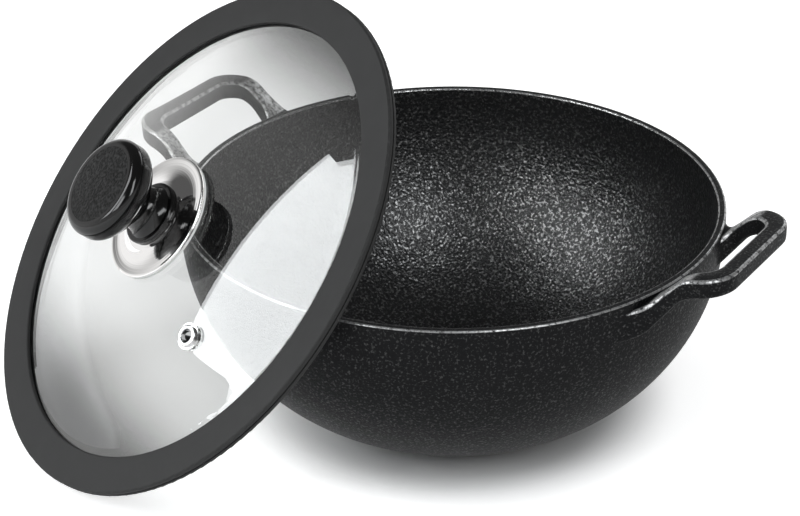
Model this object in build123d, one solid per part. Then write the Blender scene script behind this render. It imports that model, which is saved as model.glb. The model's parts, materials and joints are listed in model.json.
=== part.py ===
# Cast iron kadai with two loop handles, and its glass lid leaning on it, in millimetres.
# +Z is up, the origin is the centre of the bowl's flat base, and the handles lie along X.
import os
from math import asin, cos, degrees, pi, radians, sin, sqrt, tan

from build123d import *

os.makedirs("parts", exist_ok=True)

# Bowl: a flat base, one round belly and a short upright band below the rim.
RIM_RADIUS = 130.0
BOWL_HEIGHT = 107.5
BASE_RADIUS = 52.0
BELLY_TURN_ANGLE = 75.9
RIM_BAND = 7.5
WALL = 4.0
FLOOR = 5.0
RIM_ROUND = 1.2
BASE_ROUND = 4.0
FLOOR_ROUND = 20.0

# Loop handles, seen from above.
HANDLE_REACH = 30.5
HANDLE_HALF_WIDTH = 39.2
HANDLE_TAPER_ANGLE = 6.0
HANDLE_CORNER = 17.0
ROOT_FLARE = 30.0
ROOT_BITE = 0.6
BAR_WIDTH = 9.2
ARM_WIDTH = 9.2
GAP_CORNER = 10.0
GAP_ROOT_ROUND = 6.0

# Loop handles, seen from the side: a low root, a ramp and a raised bar.
ROOT_DROP = 4.5
ROOT_DEPTH = 15.0
BAR_RISE = 13.6
BAR_DEPTH = 9.4
BAR_TILT_ANGLE = 6.5
RAMP_START = 6.5
RAMP_RUN = 18.0
RAMP_BEND = 15.0
HANDLE_ROUND = 2.0

# Silicone band of the lid: a flange that sits on the rim, and a skirt that drops inside it.
BAND_WIDTH = 18.0
BAND_OVERHANG = 0.5
BAND_FLANGE = 5.0
SKIRT_DROP = 3.5
SKIRT_PLAY = 1.2
BAND_LIP = 1.8
BAND_ROUND = 1.0
GROOVE_TOP = 2.2
GROOVE_HEIGHT = 0.7
GROOVE_DEPTH = 0.6
POCKET_DEPTH = 10.5
POCKET_PLAY = 0.1

# Tempered glass: a shallow dome on a flat border that the band grips.
GLASS = 4.0
DOME_RISE = 19.8
BORDER_SHOW = 2.5
BORDER_BEND = 12.0
KNOB_HOLE = 4.0
KNOB_FLAT = 13.0

# Pressed steel plate under the knob, on a thin gasket.
PLATE_RADIUS = 31.0
PLATE_SHEET = 0.8
PLATE_EDGE = 1.6
PLATE_ROUND = 0.5
PLATE_RISE = 3.4
PLATE_SEAT = 17.0
PLATE_SAG = 0.9
PLATE_GASKET = 0.8
PLATE_GASKET_WIDTH = 4.0
PLATE_GASKET_INSET = 0.3
SEAT_PLAY = 0.02

# Knob: a foot, a waist and a mushroom head with a disc set into its top.
FOOT_RADIUS = 15.5
FOOT_HEIGHT = 3.0
FOOT_ROUND = 0.8
WAIST_RADIUS = 11.0
WAIST_HEIGHT = 9.0
UNDER_RADIUS = 20.5
UNDER_HEIGHT = 19.5
HEAD_RADIUS = 24.5
HEAD_START = 24.0
HEAD_BAND = 5.5
UNDER_ROUND = 4.0
KNOB_HEIGHT = 34.0
CAP_RADIUS = 19.0
CAP_LIP = 1.4
CAP_DEPTH = 1.6
CAP_PLAY = 0.1
CAP_CROWN = 0.5

# Fasteners of the knob: a brass bush moulded into it, a screw, a washer and a soft gasket.
SCREW_RADIUS = 2.5
SCREW_GRIP = 9.0
SCREW_HEAD_RADIUS = 4.8
SCREW_HEAD = 2.8
DRIVE_WIDTH = 1.1
DRIVE_LENGTH = 5.6
DRIVE_DEPTH = 1.5
THREAD_PLAY = 0.05
SCREW_PLAY = 0.3
BUSH_RADIUS = 4.5
BUSH_LENGTH = 12.0
WASHER_RADIUS = 9.0
WASHER_SHEET = 1.2
SCREW_GASKET_RADIUS = 10.5
SCREW_GASKET = 1.5

# Steam vent: a rolled eyelet through the glass, with a washer outside and a ring inside.
VENT_BORE = 3.0
VENT_SLEEVE = 0.8
VENT_COLLAR_RADIUS = 5.2
VENT_COLLAR = 1.6
VENT_ROUND = 0.7
VENT_WASHER_RADIUS = 6.2
VENT_WASHER = 0.9
VENT_RING_RADIUS = 6.0
VENT_RING = 1.4
VENT_HOLE_PLAY = 0.1
VENT_FROM_CENTRE = 71.0
VENT_TURN_ANGLE = -25.0

# How the lid stands: its edge on the floor and its glass against the bowl.
LEAN_TILT_ANGLE = 48.8
LEAN_TURN_ANGLE = 239.5
LEAN_SIDE = -37.5
LEAN_GAP = 0.3
LEAN_STEPS = 30
LEAN_TESTS = 20

# One overrun serves all cuts.
OVERRUN = 10.0

# A face whose normal's rise, squared, is under this share of one stands upright.
TINY_SHARE = 0.0001
QUARTER_ANGLE = 90.0

# The belly is one arc, very nearly a circle's: it runs on from the upright band, turns by the belly's
# angle and ends at the edge of the base. These are its reach across and down, and its centre's radius.
BELLY_TOP = BOWL_HEIGHT - RIM_BAND
BELLY_DOWN = BELLY_TOP / sin(radians(BELLY_TURN_ANGLE))
BELLY_ACROSS = (RIM_RADIUS - BASE_RADIUS) / (1 - cos(radians(BELLY_TURN_ANGLE)))
BELLY_CENTRE = RIM_RADIUS - BELLY_ACROSS

# Places on the handles.
BAR_EDGE = RIM_RADIUS + HANDLE_REACH
ROOT_TOP = BOWL_HEIGHT - ROOT_DROP
BAR_TOP = BOWL_HEIGHT + BAR_RISE
RAMP_FOOT = RIM_RADIUS - RAMP_START
RAMP_HEAD = RAMP_FOOT + RAMP_RUN
ROOT_REACH = RIM_RADIUS - ROOT_BITE
ROOT_INSIDE = sqrt(RIM_RADIUS**2 - (HANDLE_HALF_WIDTH + ROOT_FLARE) ** 2) - WALL

# Radii and heights in the lid's own frame, where zero is the top face of the band.
LID_RADIUS = RIM_RADIUS + BAND_OVERHANG
BAND_INNER = LID_RADIUS - BAND_WIDTH
SKIRT_RADIUS = RIM_RADIUS - WALL - SKIRT_PLAY
SKIRT_BOTTOM = -BAND_FLANGE - SKIRT_DROP
GLASS_RADIUS = BAND_INNER + POCKET_DEPTH
BORDER_TOP = -BAND_LIP
BORDER_BOTTOM = BORDER_TOP - GLASS
DOME_EDGE = BAND_INNER - BORDER_SHOW
DOME_TOP = BORDER_TOP + DOME_RISE
DOME_RADIUS = (DOME_EDGE**2 + DOME_RISE**2) / (2 * DOME_RISE)
DOME_CENTRE = DOME_TOP - DOME_RADIUS
INNER_DOME = DOME_RADIUS - GLASS


def dome_height(sphere, radius):
    """Height of a point on the dome's outer or inner sphere, at a distance from the lid's axis."""
    return DOME_CENTRE + sqrt(sphere**2 - radius**2)


FLAT_TOP = dome_height(DOME_RADIUS, KNOB_FLAT)
FLAT_BOTTOM = dome_height(INNER_DOME, KNOB_FLAT)
PLATE_TOP = FLAT_TOP + PLATE_RISE
SCREW_SEAT = FLAT_BOTTOM - SCREW_GASKET - WASHER_SHEET
VENT_X = VENT_FROM_CENTRE * cos(radians(VENT_TURN_ANGLE))
VENT_Y = VENT_FROM_CENTRE * sin(radians(VENT_TURN_ANGLE))
VENT_SAG = INNER_DOME - sqrt(INNER_DOME**2 - VENT_RING_RADIUS**2)
VENT_BOTTOM = -GLASS - VENT_SAG - VENT_RING


def disc(radius, height, bottom):
    """Upright round disc standing on a height."""
    return Pos(0, 0, bottom) * Cylinder(radius, height, align=(Align.CENTER, Align.CENTER, Align.MIN))


def washer(radius, bore, height, bottom):
    """Flat ring standing on a height."""
    return disc(radius, height, bottom) - disc(bore, height + OVERRUN, bottom - OVERRUN / 2)


def spun(face):
    """Solid of revolution about the upright axis of a face drawn as radius and height."""
    return revolve(Plane.XZ * face, Axis.Z)


def eased(face, corners, radius):
    """Face with the named corners rounded."""
    nearest = [face.vertices().sort_by_distance((x, y))[0] for x, y in corners]
    return fillet(nearest, radius)


def bowl_form(inset, floor, top):
    """Round solid inside the bowl's outer surface by an inset, between two heights."""
    across = BELLY_ACROSS - inset
    down = BELLY_DOWN - inset
    turn = degrees(asin((BELLY_TOP - floor) / down))
    belly = EllipticalCenterArc((BELLY_CENTRE, BELLY_TOP), across, down, start_angle=-turn, arc_size=turn)
    side = belly @ 1
    return spun(make_face([belly, Polyline(side, (side.X, top), (0, top), (0, floor), belly @ 0)]))


def loop_plan(edge, half_width):
    """Plan of a loop, widening from its bar towards the bowl."""
    root_half = half_width + (edge - ROOT_INSIDE) * tan(radians(HANDLE_TAPER_ANGLE))
    corners = [(edge, -half_width), (edge, half_width), (ROOT_INSIDE, root_half), (ROOT_INSIDE, -root_half)]
    return make_face(Polyline(*corners, close=True))


def handle_plan():
    """Plan of one handle: its outline flares into the bowl, and its finger gap has round corners."""
    outer = loop_plan(BAR_EDGE, HANDLE_HALF_WIDTH)
    outer = eased(outer, [(BAR_EDGE, -HANDLE_HALF_WIDTH), (BAR_EDGE, HANDLE_HALF_WIDTH)], HANDLE_CORNER)
    bowl = Circle(ROOT_REACH)
    joined = outer + bowl
    beside = [corner for corner in joined.vertices() if abs(corner.Y) > HANDLE_HALF_WIDTH]
    meets = [corner for corner in beside if ROOT_INSIDE / 2 < corner.X < RIM_RADIUS]
    joined = fillet(meets, ROOT_FLARE)
    gap_edge = BAR_EDGE - BAR_WIDTH
    gap_half = HANDLE_HALF_WIDTH - ARM_WIDTH
    gap = eased(loop_plan(gap_edge, gap_half), [(gap_edge, -gap_half), (gap_edge, gap_half)], GAP_CORNER)
    gap = gap - bowl
    roots = gap.vertices().sort_by(Axis.X)[:2]
    gap = fillet(roots, GAP_ROOT_ROUND)
    keep = Pos(ROOT_INSIDE, 0) * Rectangle(BAR_EDGE, 2 * RIM_RADIUS, align=(Align.MIN, Align.CENTER))
    return (joined & keep) - gap


def handle_side():
    """Side view of one handle, filled from its lower to its upper face."""
    far = BAR_EDGE + OVERRUN
    lift = (far - RAMP_HEAD) * tan(radians(BAR_TILT_ANGLE))
    upper = [(ROOT_INSIDE, ROOT_TOP), (RAMP_FOOT, ROOT_TOP), (RAMP_HEAD, BAR_TOP), (far, BAR_TOP + lift)]
    depths = [ROOT_DEPTH, ROOT_DEPTH, BAR_DEPTH, BAR_DEPTH]
    lower = [(x, z - depth) for (x, z), depth in zip(upper, depths)]
    face = make_face(Polyline(*upper, *reversed(lower), close=True))
    return eased(face, upper[1:3] + lower[1:3], RAMP_BEND)


def handle():
    """One loop handle on the +X side, trimmed to the middle of the bowl's wall and clear of its rim."""
    prism = extrude(handle_plan(), amount=BAR_TOP + HANDLE_REACH)
    slab = extrude(Plane.XZ * handle_side(), amount=RIM_RADIUS, both=True)
    loop = (prism & slab).solids()[0]
    sides = [face for face in loop.faces() if face.normal_at().Z**2 < TINY_SHARE]
    borders = [edge for face in sides for edge in face.edges() if edge.center().X > ROOT_INSIDE + ROOT_BITE]
    rims = [edge for edge in borders if sum(edge.is_same(other) for other in borders) == 1]
    lid_room = disc(RIM_RADIUS, HANDLE_REACH, BOWL_HEIGHT - RIM_ROUND)
    return loop.fillet(HANDLE_ROUND, rims) - bowl_form(WALL / 2, 0, BOWL_HEIGHT + OVERRUN) - lid_room


def kadai_casting():
    """Bowl and both handles, cast in one piece."""
    outside = bowl_form(0, 0, BOWL_HEIGHT)
    outside = fillet(outside.edges().group_by(Axis.Z)[0], BASE_ROUND)
    cavity = bowl_form(WALL, FLOOR, BOWL_HEIGHT + OVERRUN)
    cavity = fillet(cavity.edges().group_by(Axis.Z)[0], FLOOR_ROUND)
    shell = outside - cavity
    shell = fillet(shell.edges().group_by(Axis.Z)[-1], RIM_ROUND)
    right = handle()
    return shell + right + mirror(right, Plane.YZ)


def vent_place():
    """Frame of the steam vent: on the dome's outer face, with its Z along the glass's own normal."""
    origin = Vector(VENT_X, VENT_Y, dome_height(DOME_RADIUS, VENT_FROM_CENTRE))
    return Plane(origin, x_dir=Vector(VENT_Y, -VENT_X, 0), z_dir=origin - Vector(0, 0, DOME_CENTRE))


def lid_glass():
    """Domed glass with a flat border, a flat seat and hole for the knob, and a hole for the vent."""
    inner_edge = sqrt(INNER_DOME**2 - (BORDER_BOTTOM - DOME_CENTRE) ** 2)
    upper_middle = (KNOB_FLAT + DOME_EDGE) / 2
    lower_middle = (KNOB_FLAT + inner_edge) / 2
    upper_crown = (upper_middle, dome_height(DOME_RADIUS, upper_middle))
    lower_crown = (lower_middle, dome_height(INNER_DOME, lower_middle))
    upper = [(KNOB_FLAT, FLAT_TOP), upper_crown, (DOME_EDGE, BORDER_TOP)]
    lower = [(inner_edge, BORDER_BOTTOM), lower_crown, (KNOB_FLAT, FLAT_BOTTOM)]
    outline = [
        Line((KNOB_HOLE, FLAT_TOP), upper[0]),
        ThreePointArc(*upper),
        Polyline(upper[-1], (GLASS_RADIUS, BORDER_TOP), (GLASS_RADIUS, BORDER_BOTTOM), lower[0]),
        ThreePointArc(*lower),
        Polyline(lower[-1], (KNOB_HOLE, FLAT_BOTTOM), (KNOB_HOLE, FLAT_TOP)),
    ]
    glass = spun(eased(make_face(outline), [upper[-1], lower[0]], BORDER_BEND))
    hole = Cylinder(VENT_BORE + VENT_SLEEVE + VENT_HOLE_PLAY, GLASS + OVERRUN)
    return glass - vent_place().location * hole


def silicone_rim():
    """Band moulded round the glass, with a groove in its edge and a skirt that fits inside the rim."""
    groove_bottom = -GROOVE_TOP - GROOVE_HEIGHT
    groove_radius = LID_RADIUS - GROOVE_DEPTH
    pocket = GLASS_RADIUS + POCKET_PLAY
    corners = [
        (BAND_INNER, BORDER_TOP), (BAND_INNER, 0), (LID_RADIUS, 0), (LID_RADIUS, -GROOVE_TOP),
        (groove_radius, -GROOVE_TOP), (groove_radius, groove_bottom), (LID_RADIUS, groove_bottom),
        (LID_RADIUS, -BAND_FLANGE), (SKIRT_RADIUS, -BAND_FLANGE), (SKIRT_RADIUS, SKIRT_BOTTOM),
        (BAND_INNER, SKIRT_BOTTOM), (BAND_INNER, BORDER_BOTTOM), (pocket, BORDER_BOTTOM),
        (pocket, BORDER_TOP),
    ]
    face = make_face(Polyline(*corners, close=True))
    return spun(eased(face, corners[1:3] + corners[7:8] + corners[9:11], BAND_ROUND))


def flange_gasket():
    """Thin clear ring between the glass and the plate under the knob."""
    outer = PLATE_RADIUS - PLATE_GASKET_INSET
    inner = outer - PLATE_GASKET_WIDTH
    low_outer = dome_height(DOME_RADIUS, outer) + SEAT_PLAY
    low_inner = dome_height(DOME_RADIUS, inner) + SEAT_PLAY
    top = low_inner + PLATE_GASKET
    corners = [(inner, low_inner), (outer, low_outer), (outer, top), (inner, top)]
    return spun(make_face(Polyline(*corners, close=True)))


def knob_flange():
    """Pressed plate: a thick turned edge, a shallow hollow rise and a flat seat for the knob."""
    gasket_inner = PLATE_RADIUS - PLATE_GASKET_INSET - PLATE_GASKET_WIDTH
    edge_bottom = dome_height(DOME_RADIUS, gasket_inner) + SEAT_PLAY + PLATE_GASKET
    edge_top = edge_bottom + PLATE_EDGE
    edge_inner = PLATE_RADIUS - PLATE_EDGE
    middle = (PLATE_SEAT + edge_inner) / 2
    sag = (PLATE_TOP + edge_top) / 2 - PLATE_SAG
    hole = SCREW_RADIUS + SCREW_PLAY
    outline = [
        Polyline((hole, PLATE_TOP), (PLATE_SEAT, PLATE_TOP)),
        ThreePointArc((PLATE_SEAT, PLATE_TOP), (middle, sag), (edge_inner, edge_top)),
        Polyline((edge_inner, edge_top), (PLATE_RADIUS, edge_top), (PLATE_RADIUS, edge_bottom),
                 (edge_inner, edge_bottom), (edge_inner, edge_top - PLATE_SHEET)),
        ThreePointArc((edge_inner, edge_top - PLATE_SHEET), (middle, sag - PLATE_SHEET),
                      (PLATE_SEAT, PLATE_TOP - PLATE_SHEET)),
        Polyline((PLATE_SEAT, PLATE_TOP - PLATE_SHEET), (hole, PLATE_TOP - PLATE_SHEET), (hole, PLATE_TOP)),
    ]
    rounded = [(PLATE_RADIUS, edge_top), (PLATE_RADIUS, edge_bottom)]
    return spun(eased(make_face(outline), rounded, PLATE_ROUND))


def knob_body():
    """Moulded knob: foot, waist, mushroom head and the recess for its disc."""
    top = PLATE_TOP + KNOB_HEIGHT
    foot = PLATE_TOP + FOOT_HEIGHT
    recess = CAP_RADIUS + CAP_PLAY
    foot_inner = (FOOT_RADIUS + WAIST_RADIUS) / 2
    waist = (WAIST_RADIUS, PLATE_TOP + WAIST_HEIGHT)
    under = (UNDER_RADIUS, PLATE_TOP + UNDER_HEIGHT)
    head_low = (HEAD_RADIUS, PLATE_TOP + HEAD_START)
    head_high = (HEAD_RADIUS, PLATE_TOP + HEAD_START + HEAD_BAND)
    shoulder = (recess + CAP_LIP, top)
    bush_top = PLATE_TOP + BUSH_LENGTH
    sweep = ThreePointArc((foot_inner, foot), waist, under)
    outline = [
        Polyline((BUSH_RADIUS, bush_top), (BUSH_RADIUS, PLATE_TOP), (FOOT_RADIUS, PLATE_TOP),
                 (FOOT_RADIUS, foot), (foot_inner, foot)),
        sweep,
        Line(under, head_low),
        Line(head_low, head_high),
        EllipticalCenterArc((shoulder[0], head_high[1]), HEAD_RADIUS - shoulder[0], top - head_high[1],
                            start_angle=0, arc_size=QUARTER_ANGLE),
        Polyline(shoulder, (recess, top), (recess, top - CAP_DEPTH), (0, top - CAP_DEPTH), (0, bush_top),
                 (BUSH_RADIUS, bush_top)),
    ]
    face = make_face(outline)
    face = eased(face, [(FOOT_RADIUS, foot), (FOOT_RADIUS, PLATE_TOP)], FOOT_ROUND)
    return spun(eased(face, [under, head_low], UNDER_ROUND))


def knob_cap():
    """Disc in the knob's top, slightly crowned and plain."""
    bottom = PLATE_TOP + KNOB_HEIGHT - CAP_DEPTH
    rim = bottom + CAP_DEPTH
    sphere = (CAP_RADIUS**2 + CAP_CROWN**2) / (2 * CAP_CROWN)
    half = CAP_RADIUS / 2
    crown = rim + CAP_CROWN - sphere + sqrt(sphere**2 - half**2)
    outline = [
        Polyline((0, rim + CAP_CROWN), (0, bottom), (CAP_RADIUS, bottom), (CAP_RADIUS, rim)),
        ThreePointArc((CAP_RADIUS, rim), (half, crown), (0, rim + CAP_CROWN)),
    ]
    return spun(make_face(outline))


def knob_insert():
    """Threaded brass bush moulded into the knob's foot."""
    return washer(BUSH_RADIUS, SCREW_RADIUS + THREAD_PLAY, BUSH_LENGTH, PLATE_TOP)


def screw_gasket():
    """Soft ring between the glass and the screw's washer."""
    return washer(SCREW_GASKET_RADIUS, SCREW_RADIUS + SCREW_PLAY, SCREW_GASKET, FLAT_BOTTOM - SCREW_GASKET)


def screw_washer():
    """Steel washer under the screw's head."""
    return washer(WASHER_RADIUS, SCREW_RADIUS + SCREW_PLAY, WASHER_SHEET, SCREW_SEAT)


def knob_screw():
    """Pan-head screw from inside the lid up into the bush, with a cross recess."""
    tip = PLATE_TOP + SCREW_GRIP
    head = disc(SCREW_HEAD_RADIUS, SCREW_HEAD, SCREW_SEAT - SCREW_HEAD)
    head = fillet(head.edges().group_by(Axis.Z)[0], SCREW_HEAD / 2)
    shank = disc(SCREW_RADIUS, tip - SCREW_SEAT + SCREW_HEAD / 2, SCREW_SEAT - SCREW_HEAD / 2)
    slot = Pos(0, 0, SCREW_SEAT - SCREW_HEAD) * Box(DRIVE_LENGTH, DRIVE_WIDTH, 2 * DRIVE_DEPTH)
    return head + shank - slot - Rot(0, 0, QUARTER_ANGLE) * slot


def vent_eyelet():
    """Rolled tube through the glass with a rounded collar outside."""
    sleeve = VENT_BORE + VENT_SLEEVE
    collar_top = VENT_WASHER + VENT_COLLAR
    corners = [
        (VENT_BORE, VENT_BOTTOM), (sleeve, VENT_BOTTOM), (sleeve, VENT_WASHER),
        (VENT_COLLAR_RADIUS, VENT_WASHER), (VENT_COLLAR_RADIUS, collar_top), (VENT_BORE, collar_top),
    ]
    face = make_face(Polyline(*corners, close=True))
    return vent_place().location * spun(eased(face, corners[4:], VENT_ROUND))


def vent_washer():
    """Washer between the eyelet's collar and the glass."""
    return vent_place().location * washer(VENT_WASHER_RADIUS, VENT_BORE + VENT_SLEEVE, VENT_WASHER, 0)


def vent_back_ring():
    """Ring inside the lid that the eyelet's tube is rolled over."""
    return vent_place().location * washer(VENT_RING_RADIUS, VENT_BORE + VENT_SLEEVE, VENT_RING, VENT_BOTTOM)


def lid_frame(away):
    """Frame of the leaning lid: its edge on the floor, and its centre a distance away from the bowl."""
    tilt = radians(LEAN_TILT_ANGLE)
    turn = radians(LEAN_TURN_ANGLE)
    level = Vector(cos(turn), sin(turn), 0)
    across = Vector(-sin(turn), cos(turn), 0)
    height = LID_RADIUS * sin(tilt) + BAND_FLANGE * cos(tilt)
    origin = level * away + across * LEAN_SIDE + Vector(0, 0, height)
    return Plane(origin, x_dir=across, z_dir=level * sin(tilt) + Vector(0, 0, cos(tilt)))


def bar_corner():
    """Centres of the roundings along the top of a bar's corner and side, for a handle on the +X side."""
    taper = radians(HANDLE_TAPER_ANGLE)
    centre_x = BAR_EDGE - HANDLE_CORNER
    centre_y = HANDLE_HALF_WIDTH + HANDLE_CORNER * tan(taper) - HANDLE_CORNER / cos(taper)
    radius = HANDLE_CORNER - HANDLE_ROUND
    turns = [(pi / 2 - taper) * step / LEAN_TESTS for step in range(LEAN_TESTS + 1)]
    plan = [(centre_x + radius * cos(turn), centre_y + radius * sin(turn)) for turn in turns]
    run = plan[-1][0] - RAMP_HEAD
    steps = [run * step / LEAN_TESTS for step in range(LEAN_TESTS + 1)]
    plan += [(plan[-1][0] - step, plan[-1][1] + step * tan(taper)) for step in steps]
    slope = tan(radians(BAR_TILT_ANGLE))
    return [Vector(x, y, BAR_TOP + (x - RAMP_HEAD) * slope - HANDLE_ROUND) for x, y in plan]


def lean_contacts():
    """Places of the casting that the lid may touch, each the centre of a rounded edge with its radius."""
    turns = [2 * pi * step / (LEAN_TESTS * LEAN_TESTS) for step in range(LEAN_TESTS * LEAN_TESTS)]
    radius = RIM_RADIUS - RIM_ROUND
    height = BOWL_HEIGHT - RIM_ROUND
    contacts = [(Vector(radius * cos(turn), radius * sin(turn), height), RIM_ROUND) for turn in turns]
    for point in bar_corner():
        for side in (-1, 1):
            contacts += [(Vector(side * point.X, end * point.Y, point.Z), HANDLE_ROUND) for end in (-1, 1)]
    return contacts


def lid_underside(x, y):
    """Height of the lid's lower side at a place on it, with room for the vent's ring and the screw."""
    radius = sqrt(x**2 + y**2)
    if radius > SKIRT_RADIUS:
        return -BAND_FLANGE
    if radius > BAND_INNER:
        return SKIRT_BOTTOM
    if radius < 2 * SCREW_GASKET_RADIUS:
        return SCREW_SEAT - SCREW_HEAD
    glass = max(dome_height(INNER_DOME, radius), BORDER_BOTTOM)
    by_vent = (x - VENT_X) ** 2 + (y - VENT_Y) ** 2 < (2 * VENT_RING_RADIUS) ** 2
    return glass - 2 * VENT_RING if by_vent else glass


def lean_clearance(away, contacts):
    """Smallest distance, along the lid's axis, between its lower face and the casting."""
    frame = lid_frame(away)
    gaps = []
    for point, rounding in contacts:
        local = frame.to_local_coords(point)
        if sqrt(local.X**2 + local.Y**2) < LID_RADIUS:
            gaps.append(lid_underside(local.X, local.Y) - local.Z - rounding)
    return min(gaps, default=LEAN_GAP + RIM_RADIUS)


def leaning_frame():
    """Slides the lid towards the bowl until it is a hair from the rim or a handle."""
    contacts = lean_contacts()
    near, far = 0, RIM_RADIUS + LID_RADIUS
    for _ in range(LEAN_STEPS):
        middle = (near + far) / 2
        if lean_clearance(middle, contacts) > LEAN_GAP:
            far = middle
        else:
            near = middle
    print("lid centre", lid_frame(far).origin, "lid axis", lid_frame(far).z_dir)
    return lid_frame(far)


def build():
    casting = kadai_casting()
    lid = {
        "lid_glass": lid_glass(),
        "silicone_rim": silicone_rim(),
        "flange_gasket": flange_gasket(),
        "knob_flange": knob_flange(),
        "knob_body": knob_body(),
        "knob_cap": knob_cap(),
        "knob_insert": knob_insert(),
        "screw_gasket": screw_gasket(),
        "screw_washer": screw_washer(),
        "knob_screw": knob_screw(),
        "vent_washer": vent_washer(),
        "vent_eyelet": vent_eyelet(),
        "vent_back_ring": vent_back_ring(),
    }
    frame = leaning_frame()
    export_step(casting, "parts/kadai_casting.step")
    for name, piece in lid.items():
        export_step(frame.location * piece, f"parts/{name}.step")


build()
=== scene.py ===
# %% [markdown]
# A cast iron kadai stands on a pale floor, and its glass lid leans on one of its loop handles. The shapes
# come packed from the CAD step, in metres, with Z up and the origin under the middle of the bowl. This
# script gives them their looks: it sews their facets into smooth surfaces, adds the finishes of iron,
# glass, silicone, steel and resin, and sets the camera and the light.

# %% Load the frame
import json
from math import cos, radians, sin, sqrt

import bmesh
import bpy
from mathutils import Matrix, Vector

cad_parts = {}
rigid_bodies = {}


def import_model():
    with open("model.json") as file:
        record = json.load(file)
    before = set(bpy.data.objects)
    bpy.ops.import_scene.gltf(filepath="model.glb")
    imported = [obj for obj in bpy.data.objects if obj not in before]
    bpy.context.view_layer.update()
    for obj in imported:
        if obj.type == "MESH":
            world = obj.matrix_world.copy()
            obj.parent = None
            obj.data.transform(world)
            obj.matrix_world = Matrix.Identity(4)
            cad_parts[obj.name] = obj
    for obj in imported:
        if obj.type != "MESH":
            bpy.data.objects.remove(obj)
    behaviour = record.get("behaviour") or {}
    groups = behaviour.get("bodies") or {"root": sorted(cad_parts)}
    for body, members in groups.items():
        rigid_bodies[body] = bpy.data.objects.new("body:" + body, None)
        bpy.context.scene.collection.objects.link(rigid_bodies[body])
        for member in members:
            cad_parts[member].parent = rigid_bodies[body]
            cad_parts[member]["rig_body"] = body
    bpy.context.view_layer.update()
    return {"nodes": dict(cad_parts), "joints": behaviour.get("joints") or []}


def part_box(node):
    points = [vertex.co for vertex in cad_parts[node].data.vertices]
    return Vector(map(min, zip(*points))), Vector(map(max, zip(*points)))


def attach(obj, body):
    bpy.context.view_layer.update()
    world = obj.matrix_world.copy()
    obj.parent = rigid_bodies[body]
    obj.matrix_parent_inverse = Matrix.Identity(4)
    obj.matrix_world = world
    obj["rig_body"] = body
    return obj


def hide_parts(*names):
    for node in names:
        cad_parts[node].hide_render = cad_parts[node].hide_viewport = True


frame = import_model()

MM = 0.001
nodes = frame["nodes"]
print("CAD nodes:", sorted(nodes))

# %% [markdown]
# The camera comes first, because every later choice is judged through it. A long lens from far off keeps
# the near and the far side of the bowl at about the same scale. It looks down by less than a third of a
# right angle, so the bowl shows both its inside and its belly. Two angles and a distance place it, since
# they are easier to adjust than three coordinates, and a small roll levels the base. Blender counts
# the lens and the sensor in millimetres.

# %% Camera
AZIMUTH = radians(32.0)
ELEVATION = radians(28.1)
ROLL = radians(-0.5)
DISTANCE = 1262 * MM
TARGET = Vector((-22.05, -13.78, 74.8)) * MM
LENS = 117.0
SENSOR = 36.0

back = Vector((sin(AZIMUTH) * cos(ELEVATION), -cos(AZIMUTH) * cos(ELEVATION), sin(ELEVATION)))
right = Vector((cos(AZIMUTH), sin(AZIMUTH), 0))
up = back.cross(right)
camera_data = bpy.data.cameras.new("camera")
camera_data.lens = LENS
camera_data.sensor_width = SENSOR
camera = bpy.data.objects.new("camera", camera_data)
bpy.context.scene.collection.objects.link(camera)
rolled_right = right * cos(ROLL) + up * sin(ROLL)
rolled_up = up * cos(ROLL) - right * sin(ROLL)
turned = Matrix((rolled_right, rolled_up, back)).transposed().to_4x4()
camera.matrix_world = Matrix.Translation(TARGET + back * DISTANCE) @ turned
bpy.context.scene.camera = camera
print("Camera stands at", [round(v, 3) for v in camera.matrix_world.translation])

# %% [markdown]
# The lid leans, so its finishes need directions of their own. Its axis is the direction in which the lid
# lifts off, and the packed joint gives it, so no angle is typed twice. The band is round, so the middle of
# its reach in any direction across the axis lies on the axis, and its highest point lies on its top face.

# %% Directions and middle of the lid
lift = next(joint for joint in frame["joints"] if joint["name"] == "lid_lift")
lid_axis = Vector(lift["axis"]).normalized()
lid_across = Vector((0, 0, 1)).cross(lid_axis).normalized()
lid_up = lid_axis.cross(lid_across)


def reach(node, direction):
    """Lowest and highest place of a node's points along a direction."""
    places = [vertex.co.dot(direction) for vertex in nodes[node].data.vertices]
    return min(places), max(places)


lid_middle = lid_axis * reach("silicone_rim", lid_axis)[1]
for direction in (lid_across, lid_up):
    lid_middle += direction * sum(reach("silicone_rim", direction)) / 2
print("Middle of the lid's top", [round(v, 4) for v in lid_middle])

# %% [markdown]
# A packed node is a soup of loose triangles, so light would break at every facet. Remeshing it would move
# its surface away from the solid, and its shape is right already, so it only has to be sewn together: a
# copy is merged, shaded smooth, and its real edges are marked sharp by their angle. The copy stands for the
# node and rides on the node's body.

# %% Smooth copies of the packed nodes
SEAM = 0.002 * MM
EDGE_ANGLES = {
    "kadai_casting": 32, "lid_glass": 40, "silicone_rim": 32, "knob_flange": 40, "knob_body": 40,
    "knob_cap": 40, "flange_gasket": 30, "vent_eyelet": 40, "vent_washer": 30, "vent_back_ring": 30,
    "knob_screw": 30, "screw_washer": 30, "screw_gasket": 30, "knob_insert": 30,
}


def smooth_copy(node, edge_angle):
    """A merged, smoothly shaded piece that replaces a packed node."""
    source = nodes[node]
    mesh = source.data.copy()
    work = bmesh.new()
    work.from_mesh(mesh)
    bmesh.ops.remove_doubles(work, verts=work.verts, dist=SEAM)
    work.to_mesh(mesh)
    work.free()
    mesh.materials.clear()
    if mesh.has_custom_normals:
        mesh.attributes.remove(mesh.attributes["custom_normal"])
    mesh.shade_smooth()
    mesh.set_sharp_from_angle(angle=radians(edge_angle))
    piece = bpy.data.objects.new(node + "_smooth", mesh)
    bpy.context.scene.collection.objects.link(piece)
    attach(piece, source["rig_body"])
    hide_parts(node)
    print(piece.name, len(mesh.polygons), "faces")
    return piece


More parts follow.
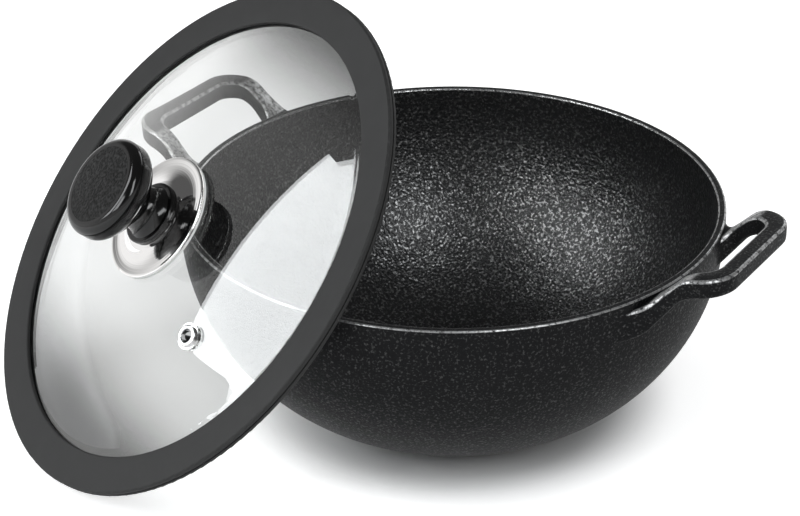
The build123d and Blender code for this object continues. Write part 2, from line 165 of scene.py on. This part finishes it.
pieces = {node: smooth_copy(node, angle) for node, angle in EDGE_ANGLES.items()}

# %% [markdown]
# A material is a graph of nodes, and its maths reads badly as a list of links. This class wraps a socket,
# so that sums and products of sockets are written as in ordinary Python: each operator adds one Math node
# and returns its result. The reflected forms let a number stand first, as in 1 - mask.

# %% Maths on sockets
class Wire:
    """A socket that is added, subtracted and multiplied like a number."""

    def __init__(self, graph, socket):
        self.graph = graph
        self.socket = socket

    def _math(self, operation, *values):
        return self.graph.node("ShaderNodeMath", {"operation": operation}, dict(enumerate(values)))

    def __add__(self, other):
        return self._math("ADD", self, other)

    def __radd__(self, other):
        return self._math("ADD", other, self)

    def __sub__(self, other):
        return self._math("SUBTRACT", self, other)

    def __rsub__(self, other):
        return self._math("SUBTRACT", other, self)

    def __mul__(self, other):
        return self._math("MULTIPLY", self, other)

    def __rmul__(self, other):
        return self._math("MULTIPLY", other, self)

    def root(self):
        """The square root."""
        return self._math("SQRT", self)

    def least(self, other):
        """The smaller of two values."""
        return self._math("MINIMUM", self, other)

    def most(self, other):
        """The larger of two values."""
        return self._math("MAXIMUM", self, other)

    def step(self, start, end):
        """Rises smoothly from 0 at start to 1 at end."""
        inputs = {"Value": self, "From Min": start, "From Max": end, "To Min": 0.0, "To Max": 1.0}
        return self.graph.node("ShaderNodeMapRange", {"interpolation_type": "SMOOTHSTEP"}, inputs)


print("A wire knows", [name for name in vars(Wire) if callable(vars(Wire)[name])])

# %% [markdown]
# Every other node comes from one method, which sets the node up before it fills its sockets, because some
# settings change which sockets a node has. Materials and worlds are built alike, so they share a class.

# %% Nodes of a material or a world
class Graph:
    """The nodes of a material or a world under construction."""

    def __init__(self, owner):
        self.owner = owner
        owner.use_nodes = True
        self.tree = owner.node_tree
        self.tree.nodes.clear()

    def node(self, kind, settings=None, inputs=None, output=0):
        """Adds a node, sets it up, fills its sockets and returns one of its outputs."""
        added = self.tree.nodes.new(kind)
        for name, value in (settings or {}).items():
            setattr(added, name, value)
        for name, value in (inputs or {}).items():
            if isinstance(value, Wire):
                self.tree.links.new(value.socket, added.inputs[name])
            else:
                added.inputs[name].default_value = value
        return Wire(self, added.outputs[output]) if len(added.outputs) else None

    def parts(self, vector):
        """The three numbers of a vector."""
        split = self.node("ShaderNodeSeparateXYZ", inputs={0: vector}).socket.node
        return [Wire(self, number) for number in split.outputs]

    def rays(self, *kinds):
        """One for rays of any of these kinds."""
        total, *others = [self.node("ShaderNodeLightPath", output=f"Is {kind} Ray") for kind in kinds]
        for other in others:
            total = total.most(other)
        return total

    def close(self, shader, kind="ShaderNodeOutputMaterial"):
        """Joins the shader to the output and returns the finished material or world."""
        self.node(kind, inputs={"Surface": shader})
        print("Finish", self.owner.name, len(self.tree.nodes), "nodes")
        return self.owner


print("A graph knows", [name for name in vars(Graph) if callable(vars(Graph)[name])])

# %% [markdown]
# No picture is wrapped round this kadai: grain, wear and clouds are patterns that are worked out at each
# point of a piece, in metres, so they keep their real size and show no seam. Noise gives clouds, rounded
# cells give pebbles, and a bump tilts the light as if the surface had relief.

# %% Patterns, colours and relief
class Finish(Graph):
    """A material for pieces of the kadai and its lid."""

    def place(self):
        """Where a point lies, in metres."""
        return self.node("ShaderNodeTexCoord", output="Object")

    def vectors(self, operation, *values, output="Vector"):
        """Maths on vectors; the output Value holds a length or a dot product."""
        return self.node("ShaderNodeVectorMath", {"operation": operation}, dict(enumerate(values)), output)

    def noise(self, size, detail=2.0, roughness=0.5, where=None):
        """Clouds from 0 to 1 whose blotches are about as wide as a size."""
        pattern = {"Scale": 1 / size, "Detail": detail, "Roughness": roughness}
        return self.node("ShaderNodeTexNoise", inputs={"Vector": where or self.place(), **pattern})

    def pebbles(self, size, smoothness=0.4):
        """Rounded cells from 0 in their middles, about as wide as a size."""
        pattern = {"Vector": self.place(), "Scale": 1 / size, "Smoothness": smoothness}
        return self.node("ShaderNodeTexVoronoi", {"feature": "SMOOTH_F1"}, pattern)

    def blend(self, amount, first, second):
        """A colour between two; the Mix node keeps its colours in sockets 6 and 7, and gives one in 2."""
        return self.node("ShaderNodeMix", {"data_type": "RGBA"}, {0: amount, 6: first, 7: second}, output=2)

    def bump(self, height, depth):
        """A normal for a relief of a height from 0 to 1 and a depth in metres."""
        return self.node("ShaderNodeBump", inputs={"Height": height, "Distance": depth})

    def surface(self, **values):
        """A Principled shader; underscores in names stand for spaces."""
        inputs = {name.replace("_", " "): value for name, value in values.items()}
        return self.node("ShaderNodeBsdfPrincipled", inputs=inputs)


def material(name):
    return Finish(bpy.data.materials.new(name))


def grey(level):
    """A neutral colour in linear light."""
    return (level, level, level, 1.0)


def dress(node, finish):
    """Puts a finish on a piece and on the packed node that it stands for."""
    for thing in (pieces[node], nodes[node]):
        thing.data.materials.clear()
        thing.data.materials.append(finish)


print("A finish knows", [name for name in vars(Finish) if callable(vars(Finish)[name])])

# %% [markdown]
# The kadai is one iron casting under a baked-on coat of oil. Where the lid, spoons and cloths rub it, on
# the rounded upper edges of the rim and of the handles, the coat wears off and bare iron shows in a broken
# line. It could be painted on, but a mask that is worked out from the shape is quicker and even. An edge is
# where the surface faces neither up, as the flat tops do, nor sideways, as the walls do. The mask keeps the
# rim's edge and, beyond the rim, the edges along the handles' arms and all edges of their bars.

# %% Rubbed edges of the iron
RIM_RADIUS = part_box("kadai_casting")[1].y
BOWL_HEIGHT = 107.5 * MM
RAMP_HEAD = 141.5 * MM
TURNS_UP = (0.25, 0.5)
TURNS_LEVEL = (0.93, 0.985)
TURNS_ASIDE = (0.04, 0.12)
RIM_EDGE = (BOWL_HEIGHT - 1.3 * MM, BOWL_HEIGHT - 1.1 * MM)
HANDLE_ROOT = (RIM_RADIUS + 0.4 * MM, RIM_RADIUS + 0.8 * MM)
BAR_START = (RAMP_HEAD ** 2, (RAMP_HEAD + 2 * MM) ** 2)
WEAR_SIZE = 2.2 * MM
WORN_OFF = (0.3, 0.6)


def rubbed_edges(iron):
    """One on the rounded upper edges of the rim and of the handles, broken up by wear."""
    x, y, z = iron.parts(iron.place())
    facing_y, facing_z = iron.parts(iron.node("ShaderNodeTexCoord", output="Normal"))[1:]
    rounded = facing_z.step(*TURNS_UP) * (1 - facing_z.step(*TURNS_LEVEL))
    on_rim = z.step(*RIM_EDGE)
    outside = (x * x + y * y).root().step(*HANDLE_ROOT)
    on_arm = (facing_y * facing_y).step(*TURNS_ASIDE)
    on_bar = (x * x).step(*BAR_START)
    wear = iron.noise(WEAR_SIZE, detail=3.0, roughness=0.7).step(*WORN_OFF)
    return rounded * on_rim.most(outside * on_arm.most(on_bar)) * wear


print("Rim's edge from", round(RIM_EDGE[0], 4), "m up, handles from", round(HANDLE_ROOT[0], 4), "m out")

# %% [markdown]
# The foundry's sand leaves a grain in the iron. The inside keeps it coarse, and it catches the light in
# specks; the outside is ground finer and duller. Grain cut into the mesh would take millions of faces, so
# it is a bump, and one function makes both sides from noise and rounded cells. The specks are bare metal,
# so they shine in the light's own colour. Metal sets in much faster than paleness does, because a half
# metallic black looks like a grey haze.

# %% Seasoned cast iron
COAT = (0.004, 0.0042, 0.0046, 1)
THIN_COAT = (0.0075, 0.0077, 0.0082, 1)
BARE_IRON = grey(0.42)
PATCH_SIZE = 35 * MM
PATCH_DULLS = 0.08
RUB_POLISHES = 0.1
PEBBLE_SHARE = 0.6
GLINT_RISE = 0.24
METAL_SPEED = 4


def cast_iron(name, grain, depth, gloss, rough, glint, glint_start):
    """Iron with a grain of a width and a depth, and bare glints above a height of its noise."""
    iron = material(name)
    fine = iron.noise(grain, roughness=0.6)
    height = (1 - iron.pebbles(grain)) * PEBBLE_SHARE + fine * (1 - PEBBLE_SHARE)
    patches = iron.noise(PATCH_SIZE)
    glints = fine.step(glint_start, glint_start + GLINT_RISE)
    edges = rubbed_edges(iron)
    colour = iron.blend(patches, COAT, THIN_COAT)
    colour = iron.blend(glints, colour, grey(glint))
    colour = iron.blend(edges, colour, BARE_IRON)
    return iron.close(iron.surface(
        Base_Color=colour,
        Metallic=(glints * METAL_SPEED).least(1).most(edges),
        Roughness=rough + patches * PATCH_DULLS - edges * RUB_POLISHES,
        Specular_IOR_Level=gloss,
        Normal=iron.bump(height, depth),
    ))


iron_outside = cast_iron(
    "ground_cast_iron",
    grain=1.2 * MM, depth=0.12 * MM, gloss=0.07, rough=0.4, glint=0.075, glint_start=0.52,
)
iron_inside = cast_iron(
    "grained_cast_iron",
    grain=1.4 * MM, depth=0.4 * MM, gloss=0.33, rough=0.27, glint=0.24, glint_start=0.47,
)
dress("kadai_casting", iron_outside)

# %% [markdown]
# The casting is one solid, but a mesh may carry several materials and give each face one of them. Sorting
# the faces by hand would take hours, so they are sorted by place. The bowl's wall follows an arc, and a
# face of the inside is nearer to the arc's centre than the outside is, by most of the wall's thickness.

# %% Inside and outside of the bowl
BELLY_TOP = 100 * MM
BELLY_REACH = 103.1 * MM
WALL = 4 * MM
OUTER_SHARE = 0.85

casting = pieces["kadai_casting"].data
casting.materials.append(iron_inside)
inner_faces = 0
for face in casting.polygons:
    along = sqrt(face.center.x ** 2 + face.center.y ** 2) - (RIM_RADIUS - BELLY_REACH)
    drop = min(face.center.z - BELLY_TOP, 0)
    if sqrt(along ** 2 + drop ** 2) < BELLY_REACH - OUTER_SHARE * WALL:
        face.material_index = 1
        inner_faces += 1
print("Inside of the bowl:", inner_faces, "faces")

# %% [markdown]
# The pane is domed, tempered glass. Its tint deepens with the distance from the middle along the lid's
# slope, so it is clear in its middle and dark towards its upper and lower ends: painted shade, standing in
# for the dark reflections and the shadow seen through those ends. A lamp's rays would have to bend through
# both faces to light what lies behind, which takes the renderer very many rays. So the rays that look for
# lamps pass straight on, dimmed, while the eye's rays still meet true glass.

# %% Tempered glass
CLEAR_TINT = (0.97, 0.975, 0.965, 1)
# The dark tint of the pane's upper and lower ends is painted shade.
SHADED_END_TINT = (0.17, 0.17, 0.168, 1)
SHADOW_TINT = grey(0.7)
TINT_MIDDLE = 8 * MM
TINT_START = 45 * MM
TINT_END = 108 * MM
GLASS_INDEX = 1.62
HAZE_SIZE = 60 * MM
HAZE = 0.012


def tempered_glass():
    pane = material("tempered_glass")
    middle = lid_middle.dot(lid_up) + TINT_MIDDLE
    height = pane.vectors("DOT_PRODUCT", pane.place(), lid_up, output="Value") - middle
    # Painted shade: the tint darkens from the middle towards the upper and lower ends of the pane.
    end_shade = (height * height).step(TINT_START ** 2, TINT_END ** 2)
    clear = pane.surface(
        Base_Color=pane.blend(end_shade, CLEAR_TINT, SHADED_END_TINT),
        Roughness=pane.noise(HAZE_SIZE, detail=3.0) * HAZE,
        IOR=GLASS_INDEX,
        Transmission_Weight=1.0,
    )
    passing = pane.node("ShaderNodeBsdfTransparent", inputs={"Color": SHADOW_TINT})
    either = {0: pane.rays("Shadow"), 1: clear, 2: passing}
    return pane.close(pane.node("ShaderNodeMixShader", inputs=either))


dress("lid_glass", tempered_glass())

# %% [markdown]
# The band round the glass is moulded silicone: dark grey and matt. One flat colour would look like plastic
# film, so faint, broad clouds of dust change its tone and its gloss a little, and a very fine skin breaks
# up its sheen.

# %% Silicone band
BAND_DARK = grey(0.01)
BAND_DUSTY = grey(0.016)
DUST_SIZE = 9 * MM
DUSTY = (0.3, 0.8)
BAND_ROUGH = 0.62
DUST_DULLS = 0.12
SKIN_SIZE = 0.35 * MM
SKIN_DEPTH = 0.03 * MM
BAND_GLOSS = 0.4


def silicone():
    band = material("dark_silicone")
    dust = band.noise(DUST_SIZE, detail=5.0, roughness=0.65)
    return band.close(band.surface(
        Base_Color=band.blend(dust.step(*DUSTY), BAND_DARK, BAND_DUSTY),
        Roughness=BAND_ROUGH + dust * DUST_DULLS,
        Specular_IOR_Level=BAND_GLOSS,
        Normal=band.bump(band.noise(SKIN_SIZE), SKIN_DEPTH),
    ))


dress("silicone_rim", silicone())

# %% [markdown]
# The plate under the knob is turned and polished to a mirror, and the wheel leaves faint rings in it, too
# fine to model as grooves. Noise that reads nothing but the distance from the lid's axis makes such rings,
# and that distance is the length of a cross product with the axis. The vent is polished plain, the washer
# and the screw under the glass are duller steel, and the hidden bush is brass.

# %% Metals
CLOUD_SIZE = 14 * MM
DULL_TONE = 0.93
LEAST_ROUGH = 0.7
CLOUD_DULLS = 0.6
FINE_MARKS = 0.25 * MM


def wheel_rings(steel, pitch):
    """Noise that changes only with the distance from the lid's axis."""
    place = steel.vectors("SUBTRACT", steel.place(), lid_middle)
    radius = steel.vectors("LENGTH", steel.vectors("CROSS_PRODUCT", place, lid_axis), output="Value")
    return steel.noise(pitch, detail=1.0, where=steel.node("ShaderNodeCombineXYZ", inputs={"X": radius}))


def metal(name, colour, rough, mark_depth, ring_pitch=None):
    """Metal with rings of a pitch round the lid's axis, or with plain fine marks."""
    steel = material(name)
    cloud = steel.noise(CLOUD_SIZE, detail=4.0)
    dull = tuple(DULL_TONE * part for part in colour[:3]) + (1.0,)
    marks = wheel_rings(steel, ring_pitch) if ring_pitch else steel.noise(FINE_MARKS)
    return steel.close(steel.surface(
        Base_Color=steel.blend(cloud, dull, colour),
        Metallic=1.0,
        Roughness=rough * (LEAST_ROUGH + CLOUD_DULLS * cloud),
        Normal=steel.bump(marks, mark_depth),
    ))


plate_steel = metal(
    "polished_steel", colour=(0.9, 0.89, 0.88, 1), rough=0.04, mark_depth=0.08 * MM, ring_pitch=1.6 * MM
)
vent_steel = metal("vent_steel", colour=(0.75, 0.75, 0.75, 1), rough=0.1, mark_depth=0.001 * MM)
plain_steel = metal("plain_steel", colour=(0.62, 0.62, 0.63, 1), rough=0.28, mark_depth=0.006 * MM)
brass = metal("turned_brass", colour=(0.72, 0.53, 0.26, 1), rough=0.25, mark_depth=0.006 * MM)
dress("knob_flange", plate_steel)
for node in ("vent_eyelet", "vent_washer", "vent_back_ring"):
    dress(node, vent_steel)
for node in ("knob_screw", "screw_washer"):
    dress(node, plain_steel)
dress("knob_insert", brass)

# %% [markdown]
# The knob is moulded black resin. Its body is glossy: a slow wave in the surface bends the reflections, as
# on anything that shrinks in its mould, and light rubbing dulls it in patches. A perfect gloss would look
# like liquid.

# %% Body of the knob
BODY_BLACK = grey(0.002)
BODY_RUBBED = grey(0.004)
RUB_SIZE = 12 * MM
RUBBED = (0.35, 0.8)
BODY_ROUGH = 0.09
RUB_DULLS = 0.08
WAVE_SIZE = 3.5 * MM
WAVE_DEPTH = 0.012 * MM
PLASTIC_INDEX = 1.45


def knob_resin():
    resin = material("glossy_black_resin")
    rub = resin.noise(RUB_SIZE, detail=5.0, roughness=0.6)
    return resin.close(resin.surface(
        Base_Color=resin.blend(rub, BODY_BLACK, BODY_RUBBED),
        Roughness=BODY_ROUGH + rub.step(*RUBBED) * RUB_DULLS,
        IOR=PLASTIC_INDEX,
        Normal=resin.bump(resin.noise(WAVE_SIZE, detail=1.0), WAVE_DEPTH),
    ))


dress("knob_body", knob_resin())

# %% [markdown]
# The disc in the knob's top is the same resin with a grained face, which hides finger marks. It is made as
# the iron is, from noise and rounded cells, and its colour follows the relief: the hollows are painted
# black as painted shade, and the ridges a little paler as painted light.

# %% Disc in the knob's top
# Black of the hollows and paler black of the ridges: painted shade and painted light of the grain.
HOLLOW_SHADE_BLACK = grey(0.0015)
RIDGE_LIGHT_BLACK = grey(0.022)
FINE_GRAIN = 1.0 * MM
CELL_SIZE = 1.3 * MM
RIDGES = (0.7, 1.4)
GRAIN_DEPTH = 0.3 * MM
FINE_SHARE = 0.6
DISC_ROUGH = 0.3
GRAIN_DULLS = 0.12
DISC_GLOSS = 0.08


def knob_disc():
    disc = material("grained_black_resin")
    grain = disc.noise(FINE_GRAIN, detail=3.0, roughness=0.6)
    cells = disc.pebbles(CELL_SIZE)
    # The ridges of the relief get painted light and its hollows painted shade.
    lit_ridges = (grain + cells).step(*RIDGES)
    relief = grain * FINE_SHARE + cells * (1 - FINE_SHARE)
    return disc.close(disc.surface(
        Base_Color=disc.blend(lit_ridges, HOLLOW_SHADE_BLACK, RIDGE_LIGHT_BLACK),
        Roughness=DISC_ROUGH + grain * GRAIN_DULLS,
        Specular_IOR_Level=DISC_GLOSS,
        Normal=disc.bump(relief, GRAIN_DEPTH),
    ))


dress("knob_cap", knob_disc())

# %% [markdown]
# Steel may not press on bare glass, so a ring of soft, clear plastic lies under the plate, and another
# under the screw's washer. They are too thin to be worth true glass, so a pale, cloudy plastic stands for
# them.

# %% Clear gaskets
CLOUDY = (0.62, 0.63, 0.62, 1)
PALE = (0.74, 0.75, 0.74, 1)
GASKET_CLOUD = 4 * MM
GASKET_ROUGH = 0.3
GASKET_DULLS = 0.15


def soft_plastic():
    soft = material("clear_soft_plastic")
    cloud = soft.noise(GASKET_CLOUD, detail=3.0)
    return soft.close(soft.surface(
        Base_Color=soft.blend(cloud, CLOUDY, PALE),
        Roughness=GASKET_ROUGH + cloud * GASKET_DULLS,
        IOR=PLASTIC_INDEX,
    ))


gasket = soft_plastic()
for node in ("flange_gasket", "screw_gasket"):
    dress(node, gasket)

# %% [markdown]
# The object stands on white paper that runs on to the horizon. Paper under plain light is grey next to a
# white page, and more light would bleach the iron, so the paper also glows, to the eye and in glass and
# metal only. The glow leaves out a disc of ground under the bowl, so the paper is darker there: a painted
# shadow, over the soft grey shadow that the lamps cast. Far out, where the lamps no longer reach, the glow
# grows, so the paper stays white there too.

# %% Floor
FLOOR_SIZE = 8.0
FLOOR_DROP = 0.2 * MM
PAPER_SHADES = (grey(0.72), grey(0.76))
FIBRE_SIZE = 0.4
PAPER_ROUGH = 0.9
# Radii over which the glow rises; inside them the ground gets a painted shadow.
PAINTED_SHADOW_EDGE = (76 * MM, 116 * MM)
GLOW_FAR = 0.6
GLOW_IN_GLASS = 0.15
UNLIT = (0.3, 1.6)
GLOW_UNLIT = 0.5


def floor_finish():
    paper = material("white_paper")
    shade = paper.blend(paper.noise(FIBRE_SIZE), *PAPER_SHADES)
    plain = paper.surface(Base_Color=shade, Roughness=PAPER_ROUGH)
    x, y = paper.parts(paper.place())[:2]
    radius = (x * x + y * y).root()
    unlit = radius.step(*UNLIT) * GLOW_UNLIT
    # Leaving out the glow near the bowl paints a darker disc of shadow under it.
    glow = radius.step(*PAINTED_SHADOW_EDGE) * GLOW_FAR + unlit
    strength = paper.rays("Camera") * glow + paper.rays("Glossy", "Transmission") * (GLOW_IN_GLASS + unlit)
    shine = paper.node("ShaderNodeEmission", inputs={"Color": grey(1.0), "Strength": strength})
    return paper.close(paper.node("ShaderNodeAddShader", inputs={0: plain, 1: shine}))


floor_mesh = bpy.data.meshes.new("floor")
work = bmesh.new()
bmesh.ops.create_grid(work, x_segments=2, y_segments=2, size=FLOOR_SIZE / 2)
bmesh.ops.translate(work, verts=work.verts, vec=(0, 0, -FLOOR_DROP))
work.to_mesh(floor_mesh)
work.free()
floor = bpy.data.objects.new("floor", floor_mesh)
bpy.context.scene.collection.objects.link(floor)
floor_mesh.materials.append(floor_finish())
print("Floor", FLOOR_SIZE, "m")

# %% [markdown]
# The world is what lies round the studio. To the eye, and through the glass, it is plain white, as the page
# is. In metal and gloss a white world would wipe out every shape, so there it fades from a white horizon to
# a dark ceiling. For the light that it sheds on the object it is a dim grey, so the softboxes can model it.

# %% World
AMBIENT = 0.42
CEILING = 0.1
HORIZON = 1.0
WALL_FADE = (0.14, 0.44)


def studio_world():
    studio = Graph(bpy.data.worlds.new("studio"))
    height = studio.parts(studio.node("ShaderNodeTexCoord", output="Generated"))[2]
    wall = CEILING + (HORIZON - CEILING) * (1 - height.step(*WALL_FADE))
    white = studio.rays("Camera", "Transmission")
    mirrored = studio.rays("Glossy") * (1 - white)
    strength = white + mirrored * wall + (1 - white) * (1 - mirrored) * AMBIENT
    light = studio.node("ShaderNodeBackground", inputs={"Color": grey(1.0), "Strength": strength})
    return studio.close(light, "ShaderNodeOutputWorld")


bpy.context.scene.world = studio_world()
bpy.context.scene.view_settings.view_transform = "Standard"

# %% [markdown]
# Black iron and steel are seen by what they reflect, so four softboxes shape them, in a slightly cool
# white. The large one on the left lies along the lid's slope, and the lid, the plate and the far wall of
# the bowl reflect it. The key light stands in front, a tall one on the right draws the knob's shoulder and
# the right handle, and a dim one behind lifts the rim. Point lamps would leave hard, small sparks instead.

# %% Softboxes
COOL_WHITE = (0.96, 0.985, 1.0)
BOWL_MIDDLE = (0, 0, 0.06)
UPRIGHT = (0, 0, 1)
LEANING = (0.357, 0.595, 0.721)


def softbox(name, place, size, power, aim=BOWL_MIDDLE, upright=UPRIGHT):
    """A rectangular lamp that looks at a point, with its second side along a direction."""
    lamp = bpy.data.lights.new(name, "AREA")
    lamp.shape = "RECTANGLE"
    lamp.size, lamp.size_y = size
    lamp.energy = power
    lamp.color = COOL_WHITE
    holder = bpy.data.objects.new(name, lamp)
    bpy.context.scene.collection.objects.link(holder)
    place = Vector(place)
    away = (place - Vector(aim)).normalized()
    side = Vector(upright).cross(away).normalized()
    holder.matrix_world = Matrix((side, away.cross(side), away)).transposed().to_4x4()
    holder.matrix_world.translation = place
    print("Softbox", name, size, "m,", power, "W")


softbox(
    "lid_softbox", place=(-0.984, -0.721, 0.954), size=(0.6, 1.0), power=12.5,
    aim=lid_middle, upright=LEANING,
)
softbox("key_softbox", place=(-0.3, -1.15, 0.8), size=(0.6, 0.5), power=6.5)
softbox("right_softbox", place=(0.84, -0.52, 1.05), size=(0.35, 0.9), power=7.5)
softbox("back_softbox", place=(0.11, 1.23, 0.72), size=(0.8, 0.4), power=2.5)

# %% [markdown]
